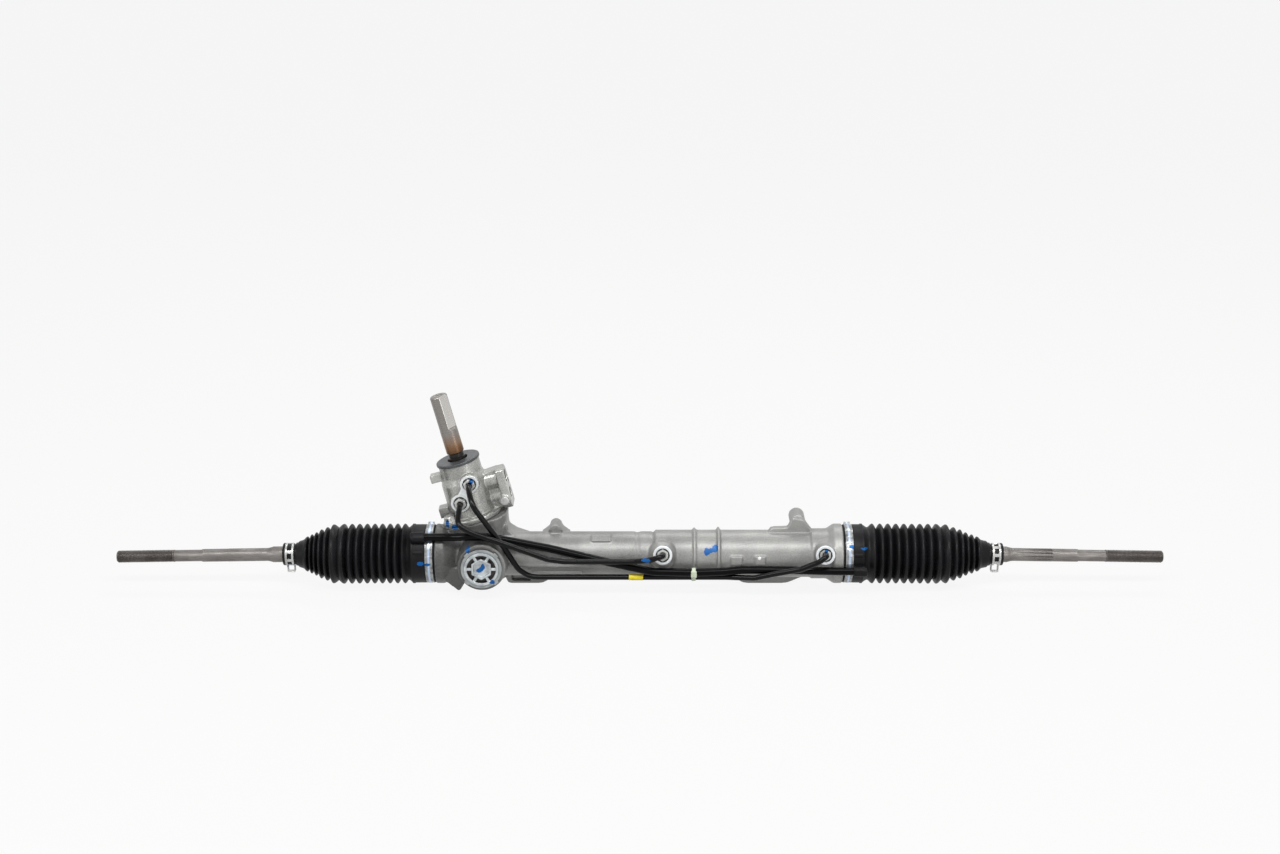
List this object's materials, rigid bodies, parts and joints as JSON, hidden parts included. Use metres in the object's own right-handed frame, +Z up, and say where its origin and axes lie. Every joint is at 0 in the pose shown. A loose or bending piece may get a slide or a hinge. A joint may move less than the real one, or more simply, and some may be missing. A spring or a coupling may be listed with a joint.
{
  "type": "hydraulic power steering rack",
  "caption": "Hydraulic power steering rack with cast housing, rotary valve, pressure pipes, rubber boots, breather line and threaded inner tie rods.",
  "frame": {"origin": "midway between the two mounting bolt holes, on the bottom faces of the two feet", "axes": "+X along the rack bar towards the right end in the picture, +Y away from the camera, +Z up"},
  "size_m": [1.1894, 0.1071, 0.2248],
  "materials": {
    "cast_aluminium": "satin",
    "machined_aluminium": "satin",
    "forged_steel": "satin",
    "ground_steel": "satin",
    "zinc_steel": "satin",
    "black_steel": "gloss",
    "boot_rubber": "matte",
    "seal_rubber": "matte",
    "cover_plastic": "satin",
    "race_plastic": "satin",
    "tie_plastic": "satin",
    "sleeve_plastic": "satin",
    "ring_plastic": "satin"
  },
  "bodies": {
    "housing": {"adjuster_plug": "zinc_steel", "breather_tube": "black_steel", "bush_snap_ring": "zinc_steel", "cable_tie": "tie_plastic", "cylinder_pipe_nuts": "zinc_steel", "cylinder_port_seats": "zinc_steel", "dust_cover": "cover_plastic", "end_bush": "machined_aluminium", "end_bush_o_ring": "seal_rubber", "end_bush_seal": "seal_rubber", "inner_cylinder_seal": "seal_rubber", "input_bearing": "ground_steel", "input_seal": "seal_rubber", "left_boot": "boot_rubber", "left_boot_band": "zinc_steel", "long_pipe": "black_steel", "lower_bearing_outer": "ground_steel", "marker_sleeve": "sleeve_plastic", "passage_plug": "zinc_steel", "pinion_end_cap": "zinc_steel", "pinion_seal": "seal_rubber", "pinion_upper_bearing": "ground_steel", "plug_lock_ring": "zinc_steel", "rack_housing": "cast_aluminium", "right_boot": "boot_rubber", "right_boot_band": "zinc_steel", "short_pipe": "black_steel", "support_yoke": "machined_aluminium", "valve_housing": "cast_aluminium", "valve_housing_bolts": "zinc_steel", "valve_pipe_nuts": "zinc_steel", "yoke_liner": "ring_plastic", "yoke_o_ring": "seal_rubber", "yoke_spring": "ground_steel"},
    "rack": {"rack_bar": "ground_steel", "piston": "ground_steel", "piston_ring": "ring_plastic", "left_ball_socket": "forged_steel", "right_ball_socket": "forged_steel"},
    "pinion": {"pinion": "ground_steel", "pinion_nut": "zinc_steel", "valve_sleeve": "ground_steel", "sleeve_rings": "ring_plastic", "lower_bearing_inner": "ground_steel", "lower_bearing_balls": "ground_steel", "torsion_bar": "ground_steel"},
    "input_shaft": {"input_shaft": "ground_steel", "torsion_bar_pin": "ground_steel"},
    "left_race": {"left_ball_race": "race_plastic"},
    "right_race": {"right_ball_race": "race_plastic"},
    "left_tie_rod": {"left_tie_rod": "forged_steel", "left_boot_clip": "zinc_steel"},
    "right_tie_rod": {"right_tie_rod": "forged_steel", "right_boot_clip": "zinc_steel"}
  },
  "joints": [
    {"name": "rack_slide", "type": "slide", "parent": "housing", "child": "rack", "axis": [1, 0, 0], "range_m": [-0.077, 0.069], "deforming": ["left_boot", "right_boot"]},
    {"name": "pinion_turn", "type": "hinge", "parent": "housing", "child": "pinion", "pos_m": [-0.1866, -0.02206, 0.04], "axis": [-0.2588, 0, 0.9659], "range_deg": [-569.4, 510.3]},
    {"name": "valve_twist", "type": "hinge", "parent": "pinion", "child": "input_shaft", "pos_m": [-0.1866, -0.02206, 0.04], "axis": [-0.2588, 0, 0.9659], "range_deg": [-5, 5], "stiffness_Nm_per_rad": 90, "deforming": ["torsion_bar"]},
    {"name": "left_joint_sweep", "type": "hinge", "parent": "rack", "child": "left_race", "pos_m": [-0.3406, -0.038, 0.04], "axis": [0, 0, 1], "range_deg": [-20, 20]},
    {"name": "left_joint_tilt", "type": "hinge", "parent": "left_race", "child": "left_tie_rod", "pos_m": [-0.3406, -0.038, 0.04], "axis": [0, 1, 0], "range_deg": [-20, 20]},
    {"name": "right_joint_sweep", "type": "hinge", "parent": "rack", "child": "right_race", "pos_m": [0.3214, -0.038, 0.04], "axis": [0, 0, 1], "range_deg": [-20, 20]},
    {"name": "right_joint_tilt", "type": "hinge", "parent": "right_race", "child": "right_tie_rod", "pos_m": [0.3214, -0.038, 0.04], "axis": [0, 1, 0], "range_deg": [-20, 20]}
  ],
  "couplings": [
    {"joint": "pinion_turn", "follows": "rack_slide", "rad_per_m": 128.94}
  ]
}
